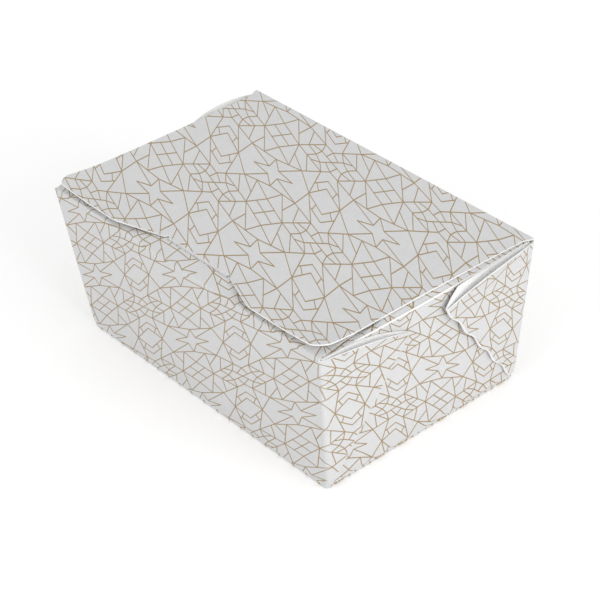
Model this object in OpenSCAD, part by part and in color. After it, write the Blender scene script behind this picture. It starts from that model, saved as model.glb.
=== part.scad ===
// A ballotin: a chocolate box folded from one blank of thin board.
// The base is smaller than the top, so every wall leans outward.
// At each upright corner a web of board is pleated flat against the end wall.
// The end flaps fold in first, then the front flap, then the lid,
// and a tongue on the lid goes down through a slit in the front flap.

/* [Tray] */
// Length over the folds at the top
top_length = 147; // [110:1:190]
// Width over the folds at the top
top_width = 96; // [80:1:120]
// Length of the base
base_length = 134; // [100:1:175]
// Width of the base
base_width = 87.5; // [70:0.5:110]
// Height of the end folds above the table
wall_height = 60; // [45:1:80]
// Thickness of the board
board = 0.45; // [0.3:0.05:0.6]
// Outside radius of the upright corners at the top
corner_radius = 1.6; // [1.2:0.1:2.4]
// Outside radius of the corners of the base
base_corner_radius = 3; // [2:0.1:4]
// Outside radius of the creases along the base and the flaps
crease_radius = 0.9; // [0.8:0.05:1.2]

/* [Corner webs] */
// Angle at the base corner between the upright corner and the fold of a front web
front_web_angle = 38; // [34:0.5:40]
// The same angle for the back webs, which have sprung open
back_web_angle = 39.5; // [34:0.5:41]
// How much further the tip of a front web reaches than the upright corner
front_tip_extra = 1.8; // [0:0.1:4]
// How much further the tip of a back web reaches than the upright corner
back_tip_extra = 3.8; // [0:0.1:5]
// Air under a web that lies flat, and between its two layers
pleat_gap = 0.16; // [0.1:0.02:0.3]
// How far the front webs gape at the top
front_mouth = 1.9; // [0:0.1:4]
// How far the back webs gape at the top
back_mouth = 3; // [0:0.1:5]
// How far the tips of the front webs stand off the wall
front_lift = 0.15; // [0:0.05:2]
// How far the tips of the back webs stand off the wall
back_lift = 2.2; // [0:0.1:4]
// Depth of the waves along the folded edge of the back webs
wave_depth = 0.5; // [0:0.1:1]
// Length of one wave
wave_length = 10; // [6:0.5:16]

/* [Inner flaps] */
// Depth of the front flap from the front fold
front_flap_depth = 56; // [40:1:64]
// How far each side of the front flap slants in over its depth
front_flap_slant = 7; // [0:0.5:14]
// Depth of the end flaps from the end folds
end_flap_depth = 34; // [20:1:44]
// How far each side of an end flap slants in over its depth
end_flap_slant = 8; // [2:0.5:14]
// Radius of the free corners of the flaps
flap_corner_radius = 5; // [1:0.5:9]
// Air between one flap and the next above it
flap_gap = 0.15; // [0.1:0.05:0.4]

/* [Lid] */
// How far the lid's ends stop short of the end folds
lid_end_inset = 0.3; // [0.3:0.05:1.5]
// Air between the front flap and the lid, and at the lid's fold
lid_gap = 0.3; // [0.25:0.05:0.5]
// Distance from the front fold back to the crease of the tongue
tongue_setback = 8.5; // [6:0.5:14]
// Width of the tongue at its crease
tongue_width = 32; // [20:1:50]
// Length of the tongue under the front flap
tongue_length = 12; // [6:0.5:16]
// Radius of the tongue's free corners
tongue_corner_radius = 6; // [1:0.5:9]
// How far the wings stop short of the front fold
wing_setback = 0.6; // [0.3:0.1:2]
// Distance from the lid's middle to where a wing reaches its full length
wing_start = 37.5; // [28:0.5:50]
// How far the wings spring up at the front edge
wing_rise = 1.8; // [0:0.1:4]
// Length of the part of the lid that curls up into the wings
wing_curl_length = 22; // [12:1:40]
// How much further the lid's outer corners spring up than the wings
corner_rise = 1.5; // [0:0.1:3]
// Width of the strip at each end of the lid that curls up towards those corners
end_curl_width = 26; // [10:1:34]
// Length along the front of the rounded outer corners of the wings
wing_corner_length = 4.1; // [1:0.1:8]
// Depth along the ends of the rounded outer corners of the wings
wing_corner_depth = 4.8; // [1:0.1:8]

/* [Slit] */
// Extra length of the slit beyond the tongue, at each end
slit_end_clearance = 2; // [1:0.5:4]
// Air between the tongue and each lip of the slit
slit_clearance = 0.35; // [0.3:0.05:0.8]

/* [Hidden] */
printed_board = [0.84, 0.84, 0.84];
lid_board = [0.8, 0.8, 0.81];
overlap = 0.3;

// Levels of the stacked layers
end_flap_top = wall_height;
front_flap_top = end_flap_top + flap_gap + board;
lid_under = front_flap_top + lid_gap;
hinge_z = lid_under + board / 2;
back_lip_top = hinge_z - board / 2 - lid_gap;
hinge_y = top_width / 2 - board / 2;

// Half sizes and the lean of the walls, as run over rise
half_top = [top_length / 2, top_width / 2];
half_base = [base_length / 2, base_width / 2];
lean = (half_top - half_base) / wall_height;
end_lean_angle = atan(lean[0]);
front_lean_angle = atan(lean[1]);

// Half sizes of the outside of the walls at height z
function half_at(z) = half_base + lean * z;

// Radius of the upright corners at height z
function corner_at(z) = base_corner_radius + (corner_radius - base_corner_radius) * z / wall_height;

// Points of a rectangle with round corners, as one level of a loft
corner_steps = 5;
function level(half, radius, z) = [
    for (side = [[1, 1, 0], [-1, 1, 90], [-1, -1, 180], [1, -1, 270]])
        for (step = [0 : corner_steps])
            let (turn = side[2] + 90 * step / corner_steps)
                [
                    side[0] * (half[0] - radius) + radius * cos(turn),
                    side[1] * (half[1] - radius) + radius * sin(turn),
                    z
                ]
];

function flat_list(lists) = [for (list = lists) each list];

// Solid through a stack of levels that have the same number of points
module loft(levels) {
    count = len(levels[0]);
    last = len(levels) - 1;
    sides = [
        for (row = [0 : last - 1])
            for (i = [0 : count - 1])
                let (j = (i + 1) % count)
                    [row * count + i, (row + 1) * count + i, (row + 1) * count + j, row * count + j]
    ];
    floor_face = [[for (i = [0 : count - 1]) i]];
    roof_face = [[for (i = [count - 1 : -1 : 0]) last * count + i]];
    polyhedron(flat_list(levels), concat(sides, floor_face, roof_face), convexity = 4);
}

// Sheet of board between two grids of points, one for each of its faces
module sheet(face, back) {
    rows = len(face);
    cols = len(face[0]);
    far = rows * cols;
    function at(row, col) = row * cols + col;
    face_quads = [
        for (r = [0 : rows - 2])
            for (c = [0 : cols - 2])
                [at(r, c), at(r + 1, c), at(r + 1, c + 1), at(r, c + 1)]
    ];
    back_quads = [
        for (r = [0 : rows - 2])
            for (c = [0 : cols - 2])
                [far + at(r, c), far + at(r, c + 1), far + at(r + 1, c + 1), far + at(r + 1, c)]
    ];
    rim = concat(
        [for (c = [0 : cols - 1]) at(0, c)],
        [for (r = [1 : rows - 1]) at(r, cols - 1)],
        [for (c = [cols - 2 : -1 : 0]) at(rows - 1, c)],
        [for (r = [rows - 2 : -1 : 1]) at(r, 0)]
    );
    rim_quads = [
        for (i = [0 : len(rim) - 1])
            let (a = rim[i])
                let (b = rim[(i + 1) % len(rim)])
                    [a, b, far + b, far + a]
    ];
    points = concat(flat_list(face), flat_list(back));
    polyhedron(points, concat(face_quads, back_quads, rim_quads), convexity = 6);
}

// Outside and inside of the walls
crease_steps = 4;
outer_levels = concat(
    [
        for (step = [0 : crease_steps])
            let (turn = 90 * step / crease_steps)
                let (z = crease_radius * (1 - cos(turn)))
                    let (inset = crease_radius * (1 - sin(turn)))
                        level(half_at(z) - [inset, inset], corner_at(z) - inset / 2, z)
    ],
    [level(half_at(wall_height), corner_radius, wall_height)]
);

function inner_half(z) = half_at(z) - [board / cos(end_lean_angle), board / cos(front_lean_angle)];

inner_levels = [
    level(inner_half(board) - [board, board], base_corner_radius - board, board),
    level(inner_half(2 * board), base_corner_radius - board, 2 * board),
    level(inner_half(wall_height + overlap), corner_radius - board, wall_height + overlap)
];

// Base and walls as a leaning shell
module tray_shell() {
    difference() {
        loft(outer_levels);
        loft(inner_levels);
        flap_notches();
    }
}

// Room for the round creases of the end and front flaps, between the corners
module flap_notches() {
    notch_z = wall_height - crease_radius;
    reach = 2 * crease_radius;
    for (side = [-1, 1])
        translate([side * half_top[0], 0, notch_z + reach / 2])
            cube([2 * reach, top_width - 2 * corner_radius, reach], center = true);
    translate([0, -half_top[1], notch_z + reach / 2])
        cube([top_length - 2 * corner_radius, 2 * reach, reach], center = true);
}

// Degrees between the points of a flap's crease
crease_turn = 18;

// Section through a wall's top, its crease and its flap.
// x runs inward from the fold line and y is the height.
module flap_section(flap_top, depth, slope) {
    foot = wall_height - crease_radius - overlap;
    foot_out = (wall_height - foot) * slope;
    centre = [crease_radius, flap_top - crease_radius];
    outer = [
        for (turn = [180 : -crease_turn : 90])
            centre + crease_radius * [cos(turn), sin(turn)]
    ];
    inner = [
        for (turn = [90 : crease_turn : 180])
            centre + (crease_radius - board) * [cos(turn), sin(turn)]
    ];
    polygon(concat(
        [[foot_out, foot]],
        outer,
        [[depth, flap_top], [depth, flap_top - board]],
        inner,
        [[foot_out + board, foot]]
    ));
}

// Outline of a flap: a straight fold, slanting sides and round free corners
module flap_outline(half_fold, depth, slant, radius) {
    hull() {
        translate([0, -half_fold])
            square([overlap, 2 * half_fold]);
        for (side = [-1, 1])
            translate([depth - radius, side * (half_fold - slant - radius)])
                circle(radius, $fn = 32);
    }
}

// One flap with its crease, folded in from the fold line at x = 0 towards +x
module inner_flap(flap_top, half_fold, depth, slant, slope) {
    intersection() {
        rotate([90, 0, 0])
            linear_extrude(2 * half_fold, center = true)
                flap_section(flap_top, depth, slope);
        linear_extrude(flap_top + overlap)
            flap_outline(half_fold, depth, slant, flap_corner_radius);
    }
}

module end_flaps() {
    for (side = [0, 180])
        rotate([0, 0, side])
            translate([half_top[0], 0, 0])
                rotate([0, 0, 180])
                    inner_flap(end_flap_top, half_top[1] - corner_radius, end_flap_depth,
                        end_flap_slant, lean[0]);
}

slit_y = tongue_setback - half_top[1];
slit_length = tongue_width + 2 * slit_end_clearance;
slit_width = board + 2 * slit_clearance;

module front_flap() {
    difference() {
        translate([0, -half_top[1], 0])
            rotate([0, 0, 90])
                inner_flap(front_flap_top, half_top[0] - corner_radius, front_flap_depth,
                    front_flap_slant, lean[1]);
        translate([0, slit_y, front_flap_top])
            cube([slit_length, slit_width, 4 * board], center = true);
    }
}

// Strip at the top of the back wall that the lid turns on
module back_lip() {
    lip_foot = wall_height - overlap;
    translate([0, half_top[1] - board / 2, (lip_foot + back_lip_top) / 2])
        cube([top_length - 2 * corner_radius, board, back_lip_top - lip_foot], center = true);
}

// Frame of a web: it fans out from the base corner over the end wall
web_root = [half_base[0], -half_base[1], 0];
web_edge = [half_top[0], -half_top[1], wall_height] - web_root;
web_length = norm(web_edge);
edge_dir = web_edge / web_length;
out_dir = [cos(end_lean_angle), 0, -sin(end_lean_angle)];
in_dir = cross(out_dir, edge_dir) * -1;

// Point of the web: radius from the base corner, way along the arc, height off the wall
function on_web(radius, way, height) =
    let (turn = way / radius * 180 / PI)
        web_root + radius * (cos(turn) * edge_dir + sin(turn) * in_dir) + height * out_dir;

under_height = pleat_gap + board / 2;
fold_radius = (board + pleat_gap) / 2;
// Radius at which a web starts, near the base corner, and radius at which it has settled
web_first = 2.2;
web_settled = 12;
// How deep the start of a web lies in the bend of the base corner
web_sink = 0.2 * board;
// How fast a web lifts along its radius, how sharply it curls to its tip, how full its mouth is
lift_power = 1.5;
curl_power = 4;
mouth_power = 0.8;
// Shares of the way to the fold at which a layer has a point
web_steps = [0.12, 0.25, 0.4, 0.55, 0.7, 0.82, 0.92];
// Degrees between the points of the fold
fold_turn = 36;
// Largest share of the way to the fold that the upright corner takes
corner_share = 0.2;
// Points of the upright corner, as shares of its radius: way along the wall and height.
// The first list starts from the wall, the second from the top layer.
corner_foot = [[0.2, -0.4], [0.25, -1.2]];
corner_crown = [[0.75, -0.1], [0.35, -0.35]];

// Height off the wall of the under layer and of the top layer, share f of the way to the fold
function under_at(f, share, lift) =
    let (settle = min(1, share * web_length / web_settled))
        under_height * settle - web_sink * (1 - settle)
            + lift * pow(share, lift_power) * pow(f, curl_power);
function over_at(f, share, lift, mouth) =
    under_at(f, share, lift) + 2 * fold_radius + mouth * share * pow(sin(180 * f), mouth_power);

// Middle line of the folded board at one radius: out of the end wall, along the under
// layer, round the fold, back along the top layer and round the corner into the front wall
function web_line(radius, angle, lift, mouth, wave) =
    let (share = radius / web_length)
    let (fold_way = radius * angle * PI / 180 + wave * sin(360 * radius / wave_length))
    let (start = min(corner_radius, corner_share * fold_way))
    let (crown = over_at(0, share, lift, mouth))
    let (tip = [fold_way - fold_radius, under_at(1, share, lift) + fold_radius])
    concat(
        [[0.4 * start, -board / 2], [0.75 * start, 0]],
        [for (f = web_steps) [start + f * (tip[0] - start), under_at(f, share, lift)]],
        [for (turn = [-90 : fold_turn : 90]) tip + fold_radius * [cos(turn), sin(turn)]],
        [
            for (i = [len(web_steps) - 1 : -1 : 0])
                let (f = web_steps[i])
                    [start + f * (tip[0] - start), over_at(f, share, lift, mouth)]
        ],
        [for (p = corner_crown) [p[0] * start, crown + p[1] * start]],
        [for (p = corner_foot) p * start]
    );

// The same line moved sideways by half the board, to one side or the other
function beside(line, offset) = [
    for (i = [0 : len(line) - 1])
        let (before = line[max(i - 1, 0)])
            let (after = line[min(i + 1, len(line) - 1)])
                let (along = (after - before) / norm(after - before))
                    line[i] + offset * [-along[1], along[0]]
];

function placed(line, radius, angle, extra) = [
    for (p = line)
        let (reach = 1 + extra / web_length * min(1, p[0] / (radius * angle * PI / 180)))
            on_web(radius * max(1, reach), p[0], p[1])
];

module corner_web(angle, extra, lift, mouth, wave, rings) {
    radii = [for (i = [0 : rings]) web_first + (web_length - web_first) * i / rings];
    lines = [for (r = radii) web_line(r, angle, lift, mouth, wave)];
    face = [for (i = [0 : rings]) placed(beside(lines[i], board / 2), radii[i], angle, extra)];
    back = [for (i = [0 : rings]) placed(beside(lines[i], -board / 2), radii[i], angle, extra)];
    sheet(face, back);
}

// A wavy fold needs more rings than a straight one
front_rings = 8;
back_rings = 24;

module corner_webs() {
    for (end = [0, 1])
        mirror([end, 0, 0]) {
            corner_web(front_web_angle, front_tip_extra, front_lift, front_mouth, 0, front_rings);
            mirror([0, 1, 0])
                corner_web(back_web_angle, back_tip_extra, back_lift, back_mouth, wave_depth, back_rings);
        }
}

module carton_body() {
    color(printed_board)
        union() {
            tray_shell();
            back_lip();
            end_flaps();
            front_flap();
            corner_webs();
        }
}

// Front edge of the lid: how far forward it reaches at x, from the middle to the end
lid_half = half_top[0] - lid_end_inset;
wing_front = wing_setback - half_top[1];
wing_end = lid_half - wing_corner_length;
neck_front = slit_y - board / 2;
slit_half = slit_length / 2;
ramp_length = wing_start - slit_half;

// Stations along half of the lid: over the tongue, up the ramp, along the wing, round its corner
ramp_steps = 3;
wing_steps = 4;
wing_corner_steps = 4;
lid_stations = concat(
    [0, tongue_width / 2],
    [for (step = [0 : ramp_steps]) slit_half + ramp_length * step / ramp_steps],
    [for (step = [1 : wing_steps - 1]) wing_start + (wing_end - wing_start) * step / wing_steps],
    [for (step = [0 : wing_corner_steps]) wing_end + wing_corner_length * sin(90 * step / wing_corner_steps)]
);

function front_at(x) =
    x <= slit_half ? neck_front :
    x <= wing_start ? neck_front + (wing_front - neck_front) * (x - slit_half) / ramp_length :
    x <= wing_end ? wing_front :
    wing_front + wing_corner_depth * (1 - sqrt(max(0, 1 - pow((x - wing_end) / wing_corner_length, 2))));

// How far the lid springs up at x and y: its wings curl near the front,
// and its ends curl more and more from the fold to the outer corners
curl_start = wing_front + wing_curl_length;
end_curl_power = 1.5;
function rise_at(x, y) =
    let (across = min(1, max(0, (x - slit_half) / ramp_length)))
    let (along = max(0, (curl_start - y) / wing_curl_length))
    let (outward = max(0, (x - lid_half + end_curl_width) / end_curl_width))
    let (forward = (hinge_y - y) / (hinge_y - wing_front))
        wing_rise * across * (2 - across) * along * along
            + corner_rise * outward * outward * pow(forward, end_curl_power);

// Rows of points from the fold to the start of the curl, and from there to the front edge
flat_rows = 3;
curl_rows = 5;

function lid_line(x, z) =
    let (ways = concat(
        [for (row = [0 : flat_rows - 1]) hinge_y + (curl_start - hinge_y) * row / flat_rows],
        [for (row = [0 : curl_rows]) curl_start + (front_at(abs(x)) - curl_start) * row / curl_rows]
    ))
        [for (y = ways) [x, y, z + rise_at(abs(x), y)]];

module lid_panel() {
    stations = concat(
        [for (i = [len(lid_stations) - 1 : -1 : 1]) -lid_stations[i]],
        lid_stations
    );
    face = [for (x = stations) lid_line(x, hinge_z + board / 2)];
    back = [for (x = stations) lid_line(x, hinge_z - board / 2)];
    sheet(face, back);
}

// The tongue curves about the lid's fold, so that it slides through the slit
tongue_radius = hinge_y - slit_y;
tongue_turn = tongue_length / tongue_radius * 180 / PI;
tongue_steps = 8;

module tongue() {
    bow = tongue_radius * (1 - cos(tongue_turn));
    intersection() {
        translate([0, hinge_y, hinge_z])
            rotate([0, 90, 0])
                linear_extrude(tongue_width, center = true)
                    polygon(concat(
                        [
                            for (i = [0 : tongue_steps])
                                let (turn = tongue_turn * i / tongue_steps)
                                    (tongue_radius + board / 2) * [sin(turn), -cos(turn)]
                        ],
                        [
                            for (i = [tongue_steps : -1 : 0])
                                let (turn = tongue_turn * i / tongue_steps)
                                    (tongue_radius - board / 2) * [sin(turn), -cos(turn)]
                        ]
                    ));
        translate([0, slit_y, 0])
            rotate([90, 0, 0])
                linear_extrude(2 * (bow + board), center = true)
                    tongue_outline();
    }
}

module tongue_outline() {
    tip_z = hinge_z - tongue_radius * sin(tongue_turn);
    hull() {
        translate([-tongue_width / 2, hinge_z - board])
            square([tongue_width, board]);
        for (side = [-1, 1])
            translate([side * (tongue_width / 2 - tongue_corner_radius), tip_z + tongue_corner_radius])
                circle(tongue_corner_radius, $fn = 32);
    }
}

module lid_flap() {
    color(lid_board)
        union() {
            lid_panel();
            tongue();
        }
}

carton_body();
lid_flap();
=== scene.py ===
# %% [markdown]
# # A chocolate box folded from one sheet of board
#
# The real box is a single printed blank. Its walls lean outward, a web of board
# is pleated flat at each corner, and a lid tucks its tongue into a slit.
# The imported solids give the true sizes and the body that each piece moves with.
# Here the same sheet is built again as a thin surface with a true thickness, so
# that it can have a printed side, a white side and a white cut edge.

import bmesh
import bpy
import numpy as np
from mathutils import Matrix, Vector


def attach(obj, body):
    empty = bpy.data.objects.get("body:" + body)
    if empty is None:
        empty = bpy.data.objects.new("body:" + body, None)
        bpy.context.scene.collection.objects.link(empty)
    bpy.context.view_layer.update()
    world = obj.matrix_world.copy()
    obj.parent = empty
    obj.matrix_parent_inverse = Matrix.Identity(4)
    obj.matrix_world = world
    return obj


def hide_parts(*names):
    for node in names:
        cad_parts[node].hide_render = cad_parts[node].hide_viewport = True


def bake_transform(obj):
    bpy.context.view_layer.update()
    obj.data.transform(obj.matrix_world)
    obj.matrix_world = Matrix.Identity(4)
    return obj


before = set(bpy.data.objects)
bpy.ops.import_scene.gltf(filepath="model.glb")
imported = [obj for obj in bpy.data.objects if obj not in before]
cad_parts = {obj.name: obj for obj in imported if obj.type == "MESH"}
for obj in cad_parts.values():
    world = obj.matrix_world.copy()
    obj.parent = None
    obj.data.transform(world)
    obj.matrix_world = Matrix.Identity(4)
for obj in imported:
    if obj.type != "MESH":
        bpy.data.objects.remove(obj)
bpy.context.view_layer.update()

# %% [markdown]
# ## The camera
#
# The photograph was taken with a long lens from the front right, a little above
# the box, and it is tipped by a few degrees. A camera's own axes can be written
# straight into its matrix: right, up and the way back from the target.

# %% Camera at the photograph's angle
MM = 0.001
CAMERA_AROUND = np.radians(52.63)
CAMERA_ABOVE = np.radians(35.083)
CAMERA_TIP = np.radians(-4.849)
CAMERA_DISTANCE = 737.5 * MM
CAMERA_TARGET = np.array([1.44, 1.86, 22.7]) * MM
CAMERA_LENS = 122.4


def unit(vector):
    return vector / np.linalg.norm(vector)


def add_camera():
    back = np.array([
        np.sin(CAMERA_AROUND) * np.cos(CAMERA_ABOVE),
        -np.cos(CAMERA_AROUND) * np.cos(CAMERA_ABOVE),
        np.sin(CAMERA_ABOVE),
    ])
    level_right = unit(np.cross([0, 0, 1], back))
    level_up = np.cross(back, level_right)
    right = np.cos(CAMERA_TIP) * level_right + np.sin(CAMERA_TIP) * level_up
    up = np.cos(CAMERA_TIP) * level_up - np.sin(CAMERA_TIP) * level_right
    place = CAMERA_TARGET + back * CAMERA_DISTANCE
    matrix = Matrix.Identity(4)
    for row in range(3):
        matrix[row] = (right[row], up[row], back[row], place[row])
    data = bpy.data.cameras.new("camera")
    data.lens = CAMERA_LENS
    data.clip_start = 0.01
    camera = bpy.data.objects.new("camera", data)
    camera.matrix_world = matrix
    bpy.context.scene.collection.objects.link(camera)
    bpy.context.scene.camera = camera
    return camera


camera = add_camera()
print("camera stands at", [round(x, 3) for x in camera.matrix_world.translation])

# %% [markdown]
# ## The sizes of the blank
#
# All lengths below are in millimetres, because a box maker's drawing is. The
# top, the base, the height, the board and the gaps are those of the solids.
# Every outline further down is worked out from them.

# %% Sizes of the box
HALF_TOP = np.array([73.5, 48.0])
HALF_BASE = np.array([67.0, 43.75])
END_FOLD_Z = 60.0
BOARD = 0.45
HALF_BOARD = BOARD / 2
CREASE_RADIUS = 0.9
FLAP_GAP = 0.15
LID_GAP = 0.3
FRONT_FOLD_Z = END_FOLD_Z + FLAP_GAP + BOARD
LID_MIDDLE_Z = FRONT_FOLD_Z + LID_GAP + HALF_BOARD
LEAN = (HALF_TOP - HALF_BASE) / END_FOLD_Z
END_LEAN = np.arctan(LEAN[0])
FRONT_LEAN = np.arctan(LEAN[1])
CORNER_TOP_Z = FRONT_FOLD_Z - CREASE_RADIUS
END_TOP_Z = END_FOLD_Z - CREASE_RADIUS

print("lean of the end walls and of the long walls:", np.degrees([END_LEAN, FRONT_LEAN]).round(2))

# %% [markdown]
# ## Building a sheet from patches
#
# Each panel is a grid of points with its own place on the flat blank, kept as a
# UV map in metres, so that the print stays true to scale on every panel. Each
# point also stores how far it is from the nearest crease, how wide and how strong
# that crease's band of wear and painted highlight is, and how slack the board is.
# Patches that share an edge are merged along it later.

# %% Collect patches into one mesh
PLAIN = {
    "crease_distance": 9.0, "crease_width": 1.0, "crease_wear": 0.0, "slack": 0.0,
    "wave_hold": 0.0, "wave_run": 0.0, "wave_x": 0.0, "wave_y": 0.0, "wave_z": 0.0,
    "line_width": 1.0,
}


class Blank:
    """Grids of points that are joined into one thin surface."""

    def __init__(self):
        self.points, self.corners, self.uvs = [], [], []
        self.marks = {key: [] for key in PLAIN}

    def add(self, points, uv, cut=None, **marks):
        points, uv = np.asarray(points, float), np.asarray(uv, float)
        rows, cols = points.shape[:2]
        first = len(self.points)
        self.points.extend(points.reshape(-1, 3))
        for key, plain in PLAIN.items():
            self.marks[key].extend(np.broadcast_to(marks.get(key, plain), (rows, cols)).ravel())
        flat_uv = uv.reshape(-1, 2)
        for r in range(rows - 1):
            for c in range(cols - 1):
                if cut is not None and cut(r, c):
                    continue
                quad = [r * cols + c, r * cols + c + 1, (r + 1) * cols + c + 1, (r + 1) * cols + c]
                self.corners.append([first + i for i in quad])
                self.uvs.extend(flat_uv[quad])

    def mesh(self, name):
        mesh = bpy.data.meshes.new(name)
        mesh.from_pydata((np.array(self.points) * MM).tolist(), [], self.corners)
        layer = mesh.uv_layers.new(name="blank")
        layer.data.foreach_set("uv", (np.array(self.uvs) * MM).ravel())
        for key, values in self.marks.items():
            attribute = mesh.attributes.new(key, "FLOAT", "POINT")
            attribute.data.foreach_set("value", np.array(values, np.float32))
        return mesh


def smooth(low, high, value):
    """0 below low, 1 above high, and a smooth step between them."""
    share = np.clip((np.asarray(value, float) - low) / (high - low), 0, 1)
    return share * share * (3 - 2 * share)


def creased(*creases):
    """Marks for the nearest of some creases, each given as distance, width and the strength of its wear
    and painted highlight.
    """
    distances = np.broadcast_arrays(*[distance for distance, width, wear in creases])
    nearest = np.argmin(distances, axis=0)
    columns = {}
    for key, values in zip(("crease_distance", "crease_width", "crease_wear"), zip(*creases)):
        columns[key] = np.choose(nearest, np.broadcast_arrays(*values, distances[0])[:-1])
    return columns


# %% [markdown]
# ## The pleated corner
#
# Between a long wall and an end wall the blank has a web, a slice of a circle
# about the base corner. It is creased down its middle and pressed flat outside
# the end wall. Seen along its radius, the board makes one hairpin: round the
# corner, out along the top layer, round the fold, and back along the layer
# below. The hairpin is worked out at each radius, and the rings are joined.
# The front webs lie flat. The back webs have sprung open at the tip.

# %% Frame and path of a web
PLEAT_GAP = 0.16
UNDER_HEIGHT = PLEAT_GAP + HALF_BOARD
FOLD_RADIUS = (BOARD + PLEAT_GAP) / 2
BASE_BEND = 0.9
SIDE_RUN = 3.2
END_RUN = 3.4
NOSE_WAY = 1.15
NOSE_POINTS = 7
WEB_GROWS = (0.016, 0.07)
MOUTH_POWER = 7.0
FOLD_HUG = -0.2
RUN_POINTS = 3
BEND_POINTS = 9
LAYER_POINTS = 24
SHORTEST_LAYER = 0.8
MOUTH_ROUNDNESS = 0.8
HUG_POWER = 0.7
NOSE_DROP_POWER = 6
WAVE_REACH = 5.0
FRONT_WEB = {
    "angle": 38.0, "extra": 1.8, "rise_under": 0.0, "lift": 0.15, "mouth": 2.3, "bend": 1.3,
    "wear": (0.9, 0.85), "hold": 0.0,
}
# The strong fold wear of the back webs whitens each fold into a band: partly cracked print, partly a
# painted highlight of the lit, rounded fold.
BACK_WEB = {
    "angle": 39.45, "extra": 5.7, "rise_under": 5.6, "lift": 1.9, "mouth": 3.0, "bend": 0.8,
    "wear": (0.5, 0.97), "hold": 1.0,
}

web_root = np.array([HALF_BASE[0], -HALF_BASE[1], 0.0])
web_crown = np.array([*(HALF_BASE + LEAN * CORNER_TOP_Z), CORNER_TOP_Z]) * [1, -1, 1]
WEB_LENGTH = np.linalg.norm(web_crown - web_root)
along_corner = unit(web_crown - web_root)
out_of_end = np.array([np.cos(END_LEAN), 0, -np.sin(END_LEAN)])
into_end = -np.cross(out_of_end, along_corner)


def arc(centre, radius, first, last, count):
    turns = np.radians(np.linspace(first, last, count))
    return np.array(centre) + radius * np.column_stack([np.cos(turns), np.sin(turns)])


def web_path(radius, angle, lift, mouth, bend):
    """Way along the wall and height off it, for the folded board at one radius."""
    share = radius / WEB_LENGTH
    tip_way = max(radius * angle - FOLD_RADIUS, NOSE_WAY + SHORTEST_LAYER)
    lifted = lift * share ** 1.5
    over_start = UNDER_HEIGHT + 2 * FOLD_RADIUS
    start_way = HALF_BOARD + bend
    f = np.linspace(0.05, 0.97, LAYER_POINTS)
    open_by = mouth * share ** MOUTH_POWER
    over = over_start + lifted * f ** 4 + open_by * np.sin(np.pi * f) ** MOUTH_ROUNDNESS
    under = UNDER_HEIGHT + lifted * f ** 4
    nose_height = (UNDER_HEIGHT - HALF_BOARD) / 2
    nose_radius = (UNDER_HEIGHT + HALF_BOARD) / 2
    return np.concatenate([
        np.column_stack([np.full(RUN_POINTS, HALF_BOARD), -SIDE_RUN * np.array([1, 0.6, 0.3])]),
        arc([start_way, over_start - bend], bend, 180, 92, BEND_POINTS),
        np.column_stack([start_way + f * (tip_way - start_way), over]),
        arc([tip_way, UNDER_HEIGHT + lifted + FOLD_RADIUS], FOLD_RADIUS, 90, -90, BEND_POINTS),
        np.column_stack([NOSE_WAY + f * (tip_way - NOSE_WAY), under])[::-1],
        arc([NOSE_WAY, nose_height], nose_radius, 90, 270, NOSE_POINTS),
        [[END_RUN, -HALF_BOARD]],
    ])


nose_top = web_root + WEB_LENGTH * (
    np.cos(END_RUN / WEB_LENGTH) * along_corner + np.sin(END_RUN / WEB_LENGTH) * into_end
) - HALF_BOARD * out_of_end
NOSE_DROP = nose_top[2] - END_TOP_Z
CORNER_POINT = RUN_POINTS + BEND_POINTS // 2
TIP_POINT = RUN_POINTS + BEND_POINTS + LAYER_POINTS + BEND_POINTS // 2
print("points round one pleat:", len(web_path(40, 0.66, 0, 0, 1)))


# %% A plain bent corner, which the web grows out of near the base
def corner_path(bend, count):
    """Way and height of a simple bend between two walls, with no web."""
    run = np.array([[HALF_BOARD, -SIDE_RUN]])
    bend_arc = arc([bend + HALF_BOARD, -bend - HALF_BOARD], bend, 180, 90, count - 2)
    return np.concatenate([run, bend_arc, [[END_RUN, -HALF_BOARD]]])


# Along the vertical corners the print fades a little: partly wear, partly a painted highlight of the lit
# bend.
CORNER_WEAR_AND_HIGHLIGHT = (1.5, 0.3)
LONG_PRINT = 0.74
LONG_PRINT_RISE = 0.5
LONG_LINE_WIDTH = 0.88
END_PRINT_RISE = 0.42
END_PRINT_SHIFT = 34.0


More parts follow.
